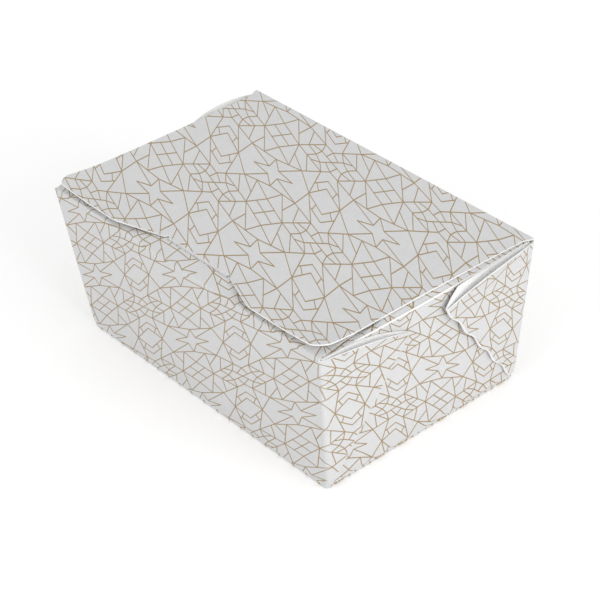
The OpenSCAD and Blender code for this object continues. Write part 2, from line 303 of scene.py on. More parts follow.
def web_ring(share, angle, extra, rise_under, lift, mouth, bend, wear, hold):
    """Points, blank places and marks of the front right corner, at one radius."""
    radius = share * WEB_LENGTH
    angle = np.radians(angle)
    folded = web_path(radius, angle, lift, mouth, bend)
    plain = corner_path(BASE_BEND, len(folded))
    grown = smooth(*WEB_GROWS, share)
    steps = np.linalg.norm(np.diff(folded, axis=0), axis=1)
    run = np.concatenate([[0], np.cumsum(steps)])
    run -= run[CORNER_POINT]
    turn = folded[:, 0] / radius
    toward_tip = np.clip(turn / angle, 0, 1)
    growth = extra * toward_tip
    if rise_under:
        fold_line = WEB_LENGTH * (np.cos(FRONT_LEAN) / np.cos(turn - FRONT_LEAN) - 1) + FOLD_HUG
        rounded = extra + rise_under * (1 - toward_tip) ** HUG_POWER
        growth[TIP_POINT:] = np.minimum(fold_line, rounded)[TIP_POINT:]
    growth[-1] = 0
    fan = radius * (1 + growth / WEB_LENGTH)
    outward = np.outer(np.cos(turn), along_corner) + np.outer(np.sin(turn), into_end)
    off_wall = np.outer(folded[:, 1], out_of_end)
    off_wall[:RUN_POINTS] = np.outer(folded[:RUN_POINTS, 1], [1, 0, 0])
    polar = web_root + fan[:, None] * outward + off_wall
    nose = smooth(0, 1, np.linspace(0, 1, NOSE_POINTS + 1))
    polar[-NOSE_POINTS - 1:] -= np.outer(nose, [LEAN[0], 0, 1]) * NOSE_DROP * share ** NOSE_DROP_POWER
    straight = (
        web_root
        + radius * along_corner
        + np.outer(plain[:, 0], into_end)
        + np.outer(plain[:, 1], out_of_end)
    )
    points = straight + grown * (polar - straight)
    side_lean = np.arctan(LEAN[0] * np.cos(FRONT_LEAN))
    spread = np.clip(run / radius, 0, None)
    long_way = points[0, 0] - run[0] + np.minimum(run, 0)
    fan_uv = np.column_stack([
        LONG_PRINT * long_way + fan * (np.sin(side_lean + spread) - np.sin(side_lean)),
        fan * np.cos(side_lean + spread),
    ])
    flat_uv = np.column_stack([
        LONG_PRINT * long_way + np.maximum(run, 0),
        np.full(len(run), radius * np.cos(side_lean)),
    ])
    uv = flat_uv + grown * (fan_uv - flat_uv)
    uv = np.column_stack([uv, long_way, np.maximum(run, 0)])
    from_fold = np.abs(run - run[TIP_POINT])
    marks = creased((np.abs(run), *CORNER_WEAR_AND_HIGHLIGHT), (from_fold, wear[0], wear[1] * grown))
    marks["wave_hold"] = hold * grown * np.exp(-(from_fold / WAVE_REACH) ** 2)
    marks["wave_run"] = np.full(len(run), radius)
    along_fold = np.cos(angle) * into_end - np.sin(angle) * along_corner
    for key, part in zip(("wave_x", "wave_y", "wave_z"), along_fold):
        marks[key] = np.full(len(run), part)
    return points, uv, marks


# %% [markdown]
# ## The tray
#
# Each wall is ruled between two corners, row by row, and shares its side points
# with the pleats. The flaps continue the walls past their top creases.

# %% Rings of the front and back webs
ROW_COUNT = 60
FIRST_ROW = 0.03
WALL_ROWS = np.concatenate([[CREASE_RADIUS / CORNER_TOP_Z], np.linspace(FIRST_ROW, 1, ROW_COUNT)])
SLOPE_LENGTH = CORNER_TOP_Z / np.cos(FRONT_LEAN)
END_SLOPE_LENGTH = CORNER_TOP_Z / np.cos(END_LEAN)

carton = Blank()
web_rings = {}
for name, side, shape in (("front", 1, FRONT_WEB), ("back", -1, BACK_WEB)):
    points, uv, marks = zip(*[web_ring(share, **shape) for share in WALL_ROWS])
    points, uv = np.array(points), np.array(uv)
    marks = {key: np.array([ring[key] for ring in marks]) for key in marks[0]}
    web_rings[name] = points * [1, side, 1]
    for end in (1, -1):
        placed = dict(marks, wave_x=marks["wave_x"] * end, wave_y=marks["wave_y"] * side)
        rise = end * side * (LONG_PRINT_RISE * uv[:, :, 2] - END_PRINT_RISE * uv[:, :, 3])
        placed_uv = np.dstack([uv[:, :, 0] * end * side, uv[:, :, 1] - rise])
        carton.add(points * [end, side, 1], placed_uv, **placed)
print("points in the four webs:", len(carton.points))

# %% Rows and columns of the walls
front_right, back_right = web_rings["front"][:, 0], web_rings["back"][:, 0]
front_end, back_end = web_rings["front"][:, -1], web_rings["back"][:, -1]
WALL_HALF = front_right[-1, 0]
FOLD_HALF = web_rings["front"][-1, RUN_POINTS, 0]
FRONT_FLAP = {"depth": 56.0, "slant": 7.0}
END_FLAP = {"depth": 34.0, "slant": 8.0}
SLIT_WAY = 8.5
SLIT_HALF_WIDTH = BOARD / 2 + 0.03
SLIT_HALF_LENGTH = 16.7
half_at_slit = FOLD_HALF - FRONT_FLAP["slant"] * SLIT_WAY / FRONT_FLAP["depth"]
SLIT_COLUMN = SLIT_HALF_LENGTH / half_at_slit * FOLD_HALF / WALL_HALF
FRONT_COUNT = 61
END_COUNT = 41
FRONT_COLUMNS = np.linspace(-1, 1, FRONT_COUNT)
FRONT_COLUMNS = np.unique(np.concatenate([FRONT_COLUMNS, [-SLIT_COLUMN, SLIT_COLUMN]]))
END_COLUMNS = np.linspace(-1, 1, END_COUNT)
END_FOLD_SAG = 0.75
SAG_POWER = 6
SLACK_EDGE = 0.6


def panel_slack(rows, cols):
    """0 at a panel's edges and 1 in its middle."""
    return np.outer(
        np.sin(np.pi * np.linspace(0, 1, rows)) ** SLACK_EDGE,
        np.sin(np.pi * np.linspace(0, 1, cols)) ** SLACK_EDGE,
    )


def ruled(left, right, columns):
    """Straight rows between two lines of points, at columns from -1 to 1."""
    share = ((columns + 1) / 2)[None, :, None]
    return left[:, None, :] * (1 - share) + right[:, None, :] * share


def end_sag(y):
    """How far the end folds hang below their corners."""
    return END_FOLD_SAG * np.clip(1 - (y / HALF_TOP[1]) ** 2, 0, 1)


# %% Walls between the corners
for side, corner_line in ((1, front_right), (-1, back_right)):
    wall = ruled(corner_line * [-1, 1, 1], corner_line, FRONT_COLUMNS)
    run = np.repeat((WALL_ROWS * SLOPE_LENGTH)[:, None], wall.shape[1], 1)
    across = wall[:, :, 0] * side
    uv = np.dstack([LONG_PRINT * across, run - LONG_PRINT_RISE * across])
    from_corner = corner_line[:, :1] + SIDE_RUN - np.abs(wall[:, :, 0])
    from_corner = creased((from_corner, *CORNER_WEAR_AND_HIGHLIGHT))
    carton.add(wall, uv, slack=panel_slack(*run.shape), line_width=LONG_LINE_WIDTH, **from_corner)

for end in (1, -1):
    wall = ruled(front_end * [end, 1, 1], back_end * [end, 1, 1], END_COLUMNS)
    wall[:, :, 2] -= end_sag(wall[:, :, 1]) * WALL_ROWS[:, None] ** SAG_POWER
    run = np.repeat((WALL_ROWS * END_SLOPE_LENGTH)[:, None], wall.shape[1], 1)
    uv = np.dstack([(wall[:, :, 1] + END_PRINT_SHIFT) * end, run + END_PRINT_RISE * wall[:, :, 1]])
    carton.add(wall, uv, slack=panel_slack(*run.shape))
print("points with the walls:", len(carton.points))

# %% [markdown]
# ## The base
#
# The base is a flat panel. A bend of 0.9 mm outside radius leads from it into the
# walls, and round the four corners.


# %% Crease round the base and the base panel
def base_loop():
    """The lowest wall row as one closed loop, with the way out at each point."""
    ring = web_rings["front"][0]
    turn = np.linspace(0, 1, len(ring))
    turn = np.radians(90 * smooth(0, 1, turn))
    out = np.column_stack([np.sin(turn), -np.cos(turn), 0 * turn])
    front = ruled(ring[:1] * [-1, 1, 1], ring[:1], FRONT_COLUMNS)[0]
    front_out = np.tile([0.0, -1.0, 0.0], (len(front), 1))
    end_wall = ruled(ring[-1:], ring[-1:] * [1, -1, 1], END_COLUMNS)[0]
    end_out = np.tile([1.0, 0.0, 0.0], (len(end_wall), 1))
    half = np.concatenate([front[1:], ring[1:], end_wall[1:], (ring * [1, -1, 1])[-2::-1]])
    half_out = np.concatenate([front_out[1:], out[1:], end_out[1:], (out * [1, -1, 1])[-2::-1]])
    return np.concatenate([half, half * [-1, -1, 1]]), np.concatenate([half_out, half_out * [-1, -1, 1]])


loop, loop_out = base_loop()
bend_radius = CREASE_RADIUS - HALF_BOARD
rows = []
for turn in np.radians(np.linspace(90, 0, 6)):
    row = loop - loop_out * bend_radius * (1 - np.sin(turn))
    row[:, 2] = CREASE_RADIUS - bend_radius * np.cos(turn)
    rows.append(row)
rows[0] = loop
crease_rows = np.array(rows)
crease_rows = np.concatenate([crease_rows, crease_rows[:, :1]], axis=1)
carton.add(crease_rows, crease_rows[:, :, :2])
inner_share = np.linspace(1, 0, 12)[:, None, None]
base_rows = crease_rows[-1][None] * [1, 1, 0] * inner_share + [0, 0, HALF_BOARD]
carton.add(base_rows, base_rows[:, :, :2])
print("points with the base:", len(carton.points))

# %% [markdown]
# ## The flaps
#
# A flap is a wall that goes on past its top crease: up, round a bend and in.
# Its sides slant and its free corners are round. The front flap has a slit for
# the lid's tongue, held open by the board that goes through it. An end flap
# springs up a little where the front flap doesn't cover it.

# %% Profile and outline of a flap
FREE_CORNER = 5.0
FLAP_BEND_POINTS = 7
FRONT_FOLD_WEAR = (0.8, 0.1)
FLAP_PRINT_SLIDE = 1.3
FLAP_PRINT_STRETCH = 1.15
END_FOLD_WEAR = (0.22, 1.0)
END_SPRING = 0.5
FLAP_START = 1.6
FLAP_ROWS = 40
STOP_SPACE = 0.3


def flap_path(depth, stops=()):
    """Way in from the fold line, height under the flap's top face, and run from the wall."""
    bend = arc([CREASE_RADIUS, -CREASE_RADIUS], CREASE_RADIUS - HALF_BOARD, 180, 90, FLAP_BEND_POINTS)
    round_off = FREE_CORNER * np.sin(np.radians(np.linspace(0, 90, 9)))
    steps = np.linspace(FLAP_START, depth - FREE_CORNER, FLAP_ROWS)
    for stop in stops:
        steps = steps[np.abs(steps - stop) > STOP_SPACE]
    ways = np.unique(np.concatenate([steps, depth - FREE_CORNER + round_off[1:], stops]))
    path = np.concatenate([bend, np.column_stack([ways, np.full(len(ways), -HALF_BOARD)])])
    run = np.concatenate([[0], np.cumsum(np.linalg.norm(np.diff(path, axis=0), axis=1))])
    return path, run


def flap_half(way, fold_half, depth, slant):
    """Half the flap's width, with slanting sides and round free corners."""
    half = fold_half - slant * np.clip(way / depth, 0, 1)
    tail = np.clip(FREE_CORNER - (depth - way), 0, FREE_CORNER)
    return half - (FREE_CORNER - np.sqrt(FREE_CORNER ** 2 - tail ** 2))


# %% The front flap and its slit
CORNER_FADE = 0.95

outer_side = web_rings["front"][-1, :CORNER_POINT + 1]
top_row = np.concatenate([
    outer_side[:0:-1] * [-1, 1, 1],
    ruled((front_right * [-1, 1, 1])[-1:], front_right[-1:], FRONT_COLUMNS)[0],
    outer_side[1:],
])
columns = top_row[:, 0] / FOLD_HALF
path, run = flap_path(FRONT_FLAP["depth"], (SLIT_WAY - SLIT_HALF_WIDTH, SLIT_WAY + SLIT_HALF_WIDTH))
half = flap_half(path[:, 0], FOLD_HALF, **FRONT_FLAP)
beyond = np.clip(np.abs(columns) - 1, 0, None)
corner_fade = CORNER_FADE * smooth(0, FLAP_START, path[:, 0])
flap = np.array([
    np.column_stack([
        (columns - np.sign(columns) * beyond * corner_fade[i]) * half[i],
        np.full(len(columns), path[i, 0] - HALF_TOP[1]),
        np.full(len(columns), path[i, 1] + FRONT_FOLD_Z),
    ])
    for i in range(len(path))
])
flap[0] = top_row
print_way = flap[:, :, 0] + FLAP_PRINT_SLIDE * run[:, None]
flap_uv = np.dstack([
    LONG_PRINT * print_way,
    SLOPE_LENGTH + FLAP_PRINT_STRETCH * run[:, None] - LONG_PRINT_RISE * print_way,
])
slit_row = int(np.argmin(np.abs(path[:, 0] - (SLIT_WAY - SLIT_HALF_WIDTH))))
print("the slit is", (path[slit_row + 1, 0] - path[slit_row, 0]).round(2), "mm wide")
in_slit = np.abs((columns[:-1] + columns[1:]) / 2) * half_at_slit < SLIT_HALF_LENGTH
from_fold = np.abs(run - run[FLAP_BEND_POINTS // 2])[:, None] + 0 * columns
carton.add(
    flap,
    flap_uv,
    cut=lambda r, c: r == slit_row and in_slit[c],
    slack=panel_slack(*from_fold.shape),
    line_width=LONG_LINE_WIDTH,
    **creased((from_fold, *FRONT_FOLD_WEAR)),
)

# %% The end flaps
COVER_MARGIN = 0.4
UNCOVERED = 20.0
SPRING_START = (0.9, 2.2)
SPRING_STOP = 1.2

end_side = [web_rings[name][-1, -2:-1] for name in ("front", "back")]
top_row = np.concatenate([
    end_side[0],
    ruled(front_end[-1:], back_end[-1:], END_COLUMNS)[0],
    end_side[1],
])
end_fold_half = top_row[-1, 1]
columns = top_row[:, 1] / end_fold_half
top_row[1:-1, 2] -= end_sag(top_row[1:-1, 1])
path, run = flap_path(END_FLAP["depth"])
half = flap_half(path[:, 0], end_fold_half, **END_FLAP)
flap = np.array([
    np.column_stack([
        np.full(len(columns), HALF_TOP[0] - path[i, 0]),
        columns * half[i],
        path[i, 1] + END_FOLD_Z - end_sag(columns * half[i]),
    ])
    for i in range(len(path))
])
way = path[:, :1]
from_front = flap[:, :, 1] + HALF_TOP[1]
covered = np.where(
    from_front < FRONT_FLAP["depth"],
    FRONT_FLAP["slant"] * from_front / FRONT_FLAP["depth"] - COVER_MARGIN,
    UNCOVERED,
)
free = smooth(*SPRING_START, way) * (1 - smooth(covered - SPRING_STOP, covered, way))
flap[:, :, 2] += free * (END_SPRING + end_sag(flap[:, :, 1]))
flap[0] = top_row
from_fold = np.abs(run - run[FLAP_BEND_POINTS // 2])[:, None] + 0 * columns
for end in (1, -1):
    uv = np.dstack([
        (flap[:, :, 1] + END_PRINT_SHIFT) * end,
        (run + END_SLOPE_LENGTH)[:, None] + END_PRINT_RISE * flap[:, :, 1],
    ])
    carton.add(flap * [end, 1, 1], uv, **creased((from_fold, *END_FOLD_WEAR)))
print("points in the carton:", len(carton.points))

# %% [markdown]
# ## The lid
#
# The lid is the back wall's flap. It covers the whole top. In the middle of its
# front edge a tongue is creased down into the slit, and on each side of the
# tongue a wing has nothing to hold it, so it springs up a little.
# The flat lid is made first, and a small node tree springs the wings.

# %% Outline of the lid
LID_HALF = HALF_TOP[0] - 0.3
LID_BOW = 0.8
BOW_MIDDLE_Y = 4.0
BOW_HALF_LENGTH = 44.0
HINGE_OVERHANG = 1.4
OVERHANG_FADE = 4.0
HINGE_STRIP = 0.4
HINGE_NARROWS = (-1.2, 0.3)
TONGUE_CREASE = 0.3
TONGUE_HALF = 16.0
TONGUE_LENGTH = 12.0
TONGUE_ROUND = 6.0
SLIT_Y = SLIT_WAY - HALF_TOP[1]
WING_START = 37.5
WING_FRONT_Y = -HALF_TOP[1] + 0.6
HINGE = np.array([HALF_TOP[1] - HALF_BOARD, LID_MIDDLE_Z])
OUTLINE = np.array([
    [0.0, SLIT_Y], [TONGUE_HALF, SLIT_Y], [TONGUE_HALF + 0.5, SLIT_Y + 0.9],
    [TONGUE_HALF + 1.6, SLIT_Y + 0.9], [TONGUE_HALF + 2.2, SLIT_Y - 0.3],
    [WING_START - 1.5, WING_FRONT_Y + 0.5], [WING_START + 2, WING_FRONT_Y],
    [LID_HALF - 4.3, WING_FRONT_Y], [LID_HALF - 2.9, WING_FRONT_Y + 0.7],
    [LID_HALF - 1.2, WING_FRONT_Y + 2.6], [LID_HALF - 0.3, WING_FRONT_Y + 4.4],
    [LID_HALF, WING_FRONT_Y + 5.6],
])
side_columns = np.unique(np.concatenate([OUTLINE[:, 0], np.linspace(0, LID_HALF, 60)]))
lid_columns = np.unique(np.concatenate([-side_columns, side_columns])) / LID_HALF
lid_front = np.interp(np.abs(lid_columns * LID_HALF), OUTLINE[:, 0], OUTLINE[:, 1])

# %% Lid panel, with the strip of the back wall that it is creased from
lid_bend = LID_MIDDLE_Z - FRONT_FOLD_Z
bend_centre = [HINGE[0] - lid_bend, FRONT_FOLD_Z]
bend = arc(bend_centre, lid_bend, 0, 90, 8)
strip = np.array([[back_right[-1, 1], back_right[-1, 2]], [HINGE[0], FRONT_FOLD_Z - HINGE_STRIP]])
start_of_flat = bend[-1, 0]
flat_share = np.linspace(0, 1, 72)[1:]
rows = []
for y, z in np.concatenate([strip, bend]):
    narrower = (LID_HALF - FOLD_HALF) * smooth(*HINGE_NARROWS, z - FRONT_FOLD_Z)
    half = FOLD_HALF + HINGE_OVERHANG + narrower
    rows.append(np.column_stack([lid_columns * half, np.full((len(lid_columns), 2), [y, z])]))
for share in flat_share:
    y = start_of_flat + share * (lid_front - start_of_flat)
    half = LID_HALF + HINGE_OVERHANG * (1 - smooth(0, OVERHANG_FADE, start_of_flat - y))
    rows.append(np.column_stack([lid_columns * half, y, np.full(len(y), LID_MIDDLE_Z)]))
lid_points = np.array(rows)
bow = LID_BOW * np.clip(1 - ((lid_points[:, :, 1] - BOW_MIDDLE_Y) / BOW_HALF_LENGTH) ** 2, 0, 1)
lid_points[:, :, 0] *= 1 - bow / LID_HALF
middle = lid_points[:, len(lid_columns) // 2]
run = np.concatenate([[0], np.cumsum(np.linalg.norm(np.diff(middle, axis=0), axis=1))])
lid_run = run[:, None] + 0 * lid_points[:, :, 0]
flat_rows = slice(len(strip) + len(bend), None)
lid_run[flat_rows] = run[len(strip) + len(bend) - 1] + start_of_flat - lid_points[flat_rows, :, 1]
PRINT_SKEW = 0.7
LID_PRINT = 0.76
LID_LINE_WIDTH = 0.78
lid_uv = np.dstack([
    -LONG_PRINT * lid_points[:, :, 0] + PRINT_SKEW * lid_run,
    SLOPE_LENGTH + LID_PRINT * lid_run,
])
HINGE_ROW = 5
HINGE_WEAR = (0.8, 0.3)
TONGUE_WEAR = (0.65, 0.88)
on_neck = np.abs(lid_points[:, :, 0]) < TONGUE_HALF
from_tongue = np.abs(lid_points[:, :, 1] - SLIT_Y - TONGUE_CREASE)
from_tongue = np.where(on_neck, from_tongue, PLAIN["crease_distance"])
from_hinge = np.abs(run - run[HINGE_ROW])[:, None]

lid = Blank()
lid_creases = creased((from_hinge, *HINGE_WEAR), (from_tongue, *TONGUE_WEAR))
lid.add(lid_points, lid_uv, line_width=LID_LINE_WIDTH, **lid_creases)
print("lid panel:", lid_points.shape[:2], "rows and columns")

# %% The tongue, curved about the lid's fold so that it slides through the slit
tongue_radius = HINGE[0] - SLIT_Y
neck = np.abs(lid_columns * LID_HALF) <= TONGUE_HALF + 1e-6
neck_x = lid_columns[neck] * LID_HALF
down = np.linspace(0, TONGUE_LENGTH, 20)
turn = down / tongue_radius
drop = HINGE - tongue_radius * np.column_stack([np.cos(turn), np.sin(turn)])
left = TONGUE_LENGTH - down
round_in = np.clip(TONGUE_ROUND - left, 0, TONGUE_ROUND)
half = TONGUE_HALF - (TONGUE_ROUND - np.sqrt(TONGUE_ROUND ** 2 - round_in ** 2))
tongue = np.array([
    np.column_stack([neck_x * half[i] / TONGUE_HALF, np.full((len(neck_x), 2), drop[i])])
    for i in range(len(down))
])
tongue[0] = lid_points[-1, neck]
tongue_run = lid_run[-1, len(lid_columns) // 2]
tongue_uv = np.dstack([
    -LONG_PRINT * tongue[:, :, 0] + PRINT_SKEW * (tongue_run + down)[:, None],
    np.repeat((SLOPE_LENGTH + LID_PRINT * (tongue_run + down))[:, None], len(neck_x), 1),
])
from_tongue = down[:, None] + 0 * neck_x + TONGUE_CREASE
lid.add(tongue, tongue_uv, line_width=LID_LINE_WIDTH, **creased((from_tongue, *TONGUE_WEAR)))
print("tongue ends at z =", round(float(drop[-1, 1]), 1), "mm")

# %% [markdown]
# ## Sums on sockets
#
# A node tree is easier to read as an expression. This class wraps one socket, so
# that plain arithmetic on it adds the Math nodes. It serves the shape trees and
# the material trees alike.


# %% One class for all node sums
class Wire:
    """A socket of a node tree that can be used in sums."""

    def __init__(self, tree, socket):
        self.tree, self.socket = tree, socket

    @staticmethod
    def put(tree, value, target):
        if isinstance(value, Wire):
            tree.links.new(value.socket, target)
        else:
            target.default_value = value

    @classmethod
    def node(cls, tree, kind, settings=None, inputs=None, output=0):
        """Any node: its settings first, then its sockets, by name or by number."""
        node = tree.nodes.new(kind)
        for key, value in (settings or {}).items():
            setattr(node, key, value)
        for key, value in (inputs or {}).items():
            cls.put(tree, value, node.inputs[key])
        return cls(tree, node.outputs[output])

    def other(self, output):
        return Wire(self.tree, self.socket.node.outputs[output])

    def maths(self, operation, *values, clamp=False):
        settings = {"operation": operation, "use_clamp": clamp}
        return Wire.node(self.tree, "ShaderNodeMath", settings, dict(enumerate((self, *values))))

    def vector(self, operation, *values, output=0):
        settings = {"operation": operation}
        inputs = dict(enumerate((self, *values)))
        return Wire.node(self.tree, "ShaderNodeVectorMath", settings, inputs, output)

    def __add__(self, value):
        return self.maths("ADD", value)

    def __radd__(self, value):
        return self.maths("ADD", value)

    def __sub__(self, value):
        return self.maths("SUBTRACT", value)

    def __rsub__(self, value):
        return (self * -1.0) + value

    def __mul__(self, value):
        return self.maths("MULTIPLY", value)

    def __rmul__(self, value):
        return self.maths("MULTIPLY", value)

    def __truediv__(self, value):
        return self.maths("DIVIDE", value)

    def __pow__(self, value):
        return self.maths("POWER", value)

    def scaled(self, factor):
        """A vector made longer or shorter."""
        inputs = {0: self, "Scale": factor}
        return Wire.node(self.tree, "ShaderNodeVectorMath", {"operation": "SCALE"}, inputs)

    def clamped(self):
        return self.maths("ADD", 0.0, clamp=True)

    def least(self, value):
        return self.maths("MINIMUM", value)

    def most(self, value):
        return self.maths("MAXIMUM", value)

    def step(self, low, high):
        """0 below low, 1 above high, smooth between; low may be the larger."""
        inputs = {"Value": self, "From Min": low, "From Max": high}
        return Wire.node(self.tree, "ShaderNodeMapRange", {"interpolation_type": "SMOOTHSTEP"}, inputs)


# %% [markdown]
# ## Shape rules as node trees
#
# Three things on this box follow a rule: the wings' curl, the waves along the
# sprung fold, and the slight unevenness of the board between its creases. Each
# is a Geometry Nodes tree with named inputs, put on the thin surface before it
# gets its thickness.


# %% Helpers for a shape tree
def shape_tree(name, inputs):
    """A tree with a geometry in and out and named number inputs."""
    tree = bpy.data.node_groups.new(name, "GeometryNodeTree")
    tree.interface.new_socket("Geometry", in_out="INPUT", socket_type="NodeSocketGeometry")
    tree.interface.new_socket("Geometry", in_out="OUTPUT", socket_type="NodeSocketGeometry")
    for key, default in inputs.items():
        socket = tree.interface.new_socket(key, in_out="INPUT", socket_type="NodeSocketFloat")
        socket.default_value = default
    entry = tree.nodes.new("NodeGroupInput")
    return tree, {s.name: Wire(tree, s) for s in entry.outputs if s.name}


def end_tree(tree, shape, offset, material):
    moved = Wire.node(tree, "GeometryNodeSetPosition", None, {"Geometry": shape, "Offset": offset})
    real = Wire.node(tree, "GeometryNodeRealizeInstances", None, {0: moved})
    painted = Wire.node(tree, "GeometryNodeSetMaterial", None, {"Geometry": real, "Material": material})
    leave = tree.nodes.new("NodeGroupOutput")
    tree.links.new(painted.socket, leave.inputs[0])


def add_tree(obj, tree, values):
    modifier = obj.modifiers.new(tree.name, "NODES")
    modifier.node_group = tree
    ids = {item.name: item.identifier for item in tree.interface.items_tree if item.in_out == "INPUT"}
    for key, value in values.items():
        modifier[ids[key]] = value
    return modifier


def apply_all(obj):
    """Turns what the modifiers make into the object's plain mesh."""
    bpy.context.view_layer.update()
    result = bpy.data.meshes.new_from_object(obj.evaluated_get(bpy.context.evaluated_depsgraph_get()))
    obj.modifiers.clear()
    obj.data = result
    return obj


# %% [markdown]
# ## The print
#
# The outside of the board carries a fine tan line pattern. The pattern here is a
# plain mosaic of stars, chevrons and slender triangles. It is drawn in one small
# cell, and two ping-pong nodes mirror that cell over the whole blank, the way a
# kaleidoscope does. Each line is the distance to a segment, so it stays sharp at
# any size.

# %% Lines of the pattern cell, in millimetres
CELL = (21.0, 14.5)
CELL_LINES = [
    [(0, 5.0), (2.0, 1.4), (8.0, 0)],
    [(2.0, 1.4), (10.5, 6.0), (14.8, 0)],
    [(0, 5.0), (10.5, 6.0), (21, 10.9)],
    [(5.2, 5.5), (0, 9.8), (7.4, 14.5), (17.6, 9.3)],
    [(0, 14.5), (3.7, 12.1)],
    [(5.2, 5.5), (7.4, 14.5)],
    [(10.5, 6.0), (6.45, 10.6)],
    [(17.6, 9.3), (14.8, 0), (21, 4.6)],
    [(16.1, 4.3), (21, 7.4)],
    [(18.2, 2.5), (17.0, 4.9)],
    [(12.2, 6.8), (11.2, 12.6), (14.6, 14.5)],
    [(12.9, 11.7), (16.6, 12.4), (17.6, 9.3)],
    [(14.6, 14.5), (16.6, 12.4), (21, 14.5)],
    [(18.6, 13.4), (21, 10.9)],
]
LINE_HALF = 0.22
LINE_BLUR = 0.06
print("segments in the pattern cell:", sum(len(line) - 1 for line in CELL_LINES))


def line_mask(tree, place, width):
    """1 on a printed line and 0 between lines, at a place on the blank in millimetres."""
    axes = Wire.node(tree, "ShaderNodeSeparateXYZ", None, {0: place})
    across = axes.maths("PINGPONG", CELL[0])
    upward = axes.other(1).maths("PINGPONG", CELL[1])
    cell = Wire.node(tree, "ShaderNodeCombineXYZ", None, {0: across, 1: upward})
    nearest = None
    for start, end in [pair for line in CELL_LINES for pair in zip(line, line[1:])]:
        way = np.subtract(end, start)
        slope = [*(way / (way @ way)), 0.0]
        apart = cell.vector("SUBTRACT", [*map(float, start), 0.0])
        share = apart.vector("DOT_PRODUCT", slope, output=1).clamped()
        inputs = {0: [*map(float, way), 0.0], "Scale": share}
        foot = Wire.node(tree, "ShaderNodeVectorMath", {"operation": "SCALE"}, inputs)
        distance = apart.vector("SUBTRACT", foot).vector("LENGTH", output=1)
        nearest = distance if nearest is None else nearest.least(distance)
    return nearest.step(width * LINE_HALF + LINE_BLUR, width * LINE_HALF - LINE_BLUR)


# %% [markdown]
# ## Board finishes
#
# Folding board is matt, with a fine mottle from its fibres. Where it is creased
# the print cracks, and the white fibres show through in a broken band; along the
# folds the same whitening is also a painted highlight of the lit, rounded board.

# %% Materials
PAPER = (0.672, 0.672, 0.675, 1.0)
INK = (0.34, 0.24, 0.115, 1.0)
# White of the creases: bare fibres where the print cracks, and also a painted highlight along lit folds.
WORN_AND_HIGHLIGHT = (0.92, 0.92, 0.92, 1.0)
INSIDE = (0.95, 0.95, 0.945, 1.0)
EDGE = (0.88, 0.88, 0.88, 1.0)
SHEEN = 0.3
MOTTLE_SCALE = 420.0
GRAIN_SCALE = 2600.0
STREAK_SCALE = 160.0
STREAK_STRETCH = 12.0
PRINT_TONE = 0.26
PLAIN_TONE = 0.1
PRINT_RELIEF = 0.06
INSIDE_RELIEF = 0.05
EDGE_RELIEF = 0.03


def blend_colours(tree, factor, first, second):
    node = tree.nodes.new("ShaderNodeMix")
    node.data_type = "RGBA"
    Wire.put(tree, factor, node.inputs[0])
    Wire.put(tree, first, node.inputs[6])
    Wire.put(tree, second, node.inputs[7])
    return Wire(tree, node.outputs[2])


def shaded(tree, colour, tone):
    """A colour times a grey tone."""
    grey = Wire.node(tree, "ShaderNodeCombineColor", None, {0: tone, 1: tone, 2: tone})
    node = tree.nodes.new("ShaderNodeMix")
    node.data_type, node.blend_type = "RGBA", "MULTIPLY"
    node.inputs[0].default_value = 1.0
    Wire.put(tree, colour, node.inputs[6])
    Wire.put(tree, grey, node.inputs[7])
    return Wire(tree, node.outputs[2])


def noise(tree, place, scale, detail=3.0, rough=0.5):
    inputs = {"Vector": place, "Scale": scale, "Detail": detail, "Roughness": rough}
    return Wire.node(tree, "ShaderNodeTexNoise", None, inputs)


def new_material(name):
    material = bpy.data.materials.new(name)
    material.use_nodes = True
    tree = material.node_tree
    tree.nodes.clear()
    return material, tree


def finish_material(tree, colour, rough, height, relief):
    """The shader, with a relief given in millimetres."""
    inputs = {"Strength": 1.0, "Distance": relief * MM, "Height": height}
    bump = Wire.node(tree, "ShaderNodeBump", None, inputs)
    inputs = {"Base Color": colour, "Roughness": rough, "Normal": bump, "Specular IOR Level": SHEEN}
    shader = Wire.node(tree, "ShaderNodeBsdfPrincipled", None, inputs)
    out = tree.nodes.new("ShaderNodeOutputMaterial")
    tree.links.new(shader.socket, out.inputs["Surface"])


def fibre_fields(tree):
    """Mottle, fine grain and long streaks of the board's surface."""
    place = Wire.node(tree, "ShaderNodeTexCoord", output=3)
    mottle = noise(tree, place, MOTTLE_SCALE, 4.0, 0.6)
    grain = noise(tree, place, GRAIN_SCALE, 2.0, 0.6)
    inputs = {0: place, "Scale": (1.0, 1.0, STREAK_STRETCH)}
    drawn_out = Wire.node(tree, "ShaderNodeMapping", None, inputs)
    streaks = noise(tree, drawn_out, STREAK_SCALE)
    return mottle, grain, streaks


def printed_board():
    material, tree = new_material("printed_board")
    mottle, grain, streaks = fibre_fields(tree)
    distance, width, wear, line_width = (
        Wire.node(tree, "ShaderNodeAttribute", {"attribute_name": key}, output=2)
        for key in ("crease_distance", "crease_width", "crease_wear", "line_width")
    )
    uv = Wire.node(tree, "ShaderNodeUVMap", {"uv_map": "blank"})
    lines = line_mask(tree, uv.scaled(1 / MM), line_width)
    # At creases the ink fades and the paper whitens: partly cracked print, partly a painted highlight of
    # the lit folds.
    patchy = (mottle - 0.5) * (1.1 - wear) * 2.4
    worn_and_lit = (distance / width + patchy).step(1.15, 0.8) * wear
    white = ((wear - 0.9) * 10.0).clamped() * worn_and_lit
    ink = lines * (1.0 - worn_and_lit) * (0.86 + mottle * 0.2)
    tone = (mottle * 0.35 + grain * 0.9 + streaks * 0.3 - 0.775) * PRINT_TONE + 1.0
    paper = blend_colours(tree, white + worn_and_lit * 0.1, PAPER, WORN_AND_HIGHLIGHT)
    printed = blend_colours(tree, ink.clamped(), paper, INK)
    rough = 0.62 + mottle * 0.14 - lines * 0.08
    height = grain * 0.4 + mottle * 0.6 + worn_and_lit * 0.5
    finish_material(tree, shaded(tree, printed, tone), rough, height, PRINT_RELIEF)
    return material


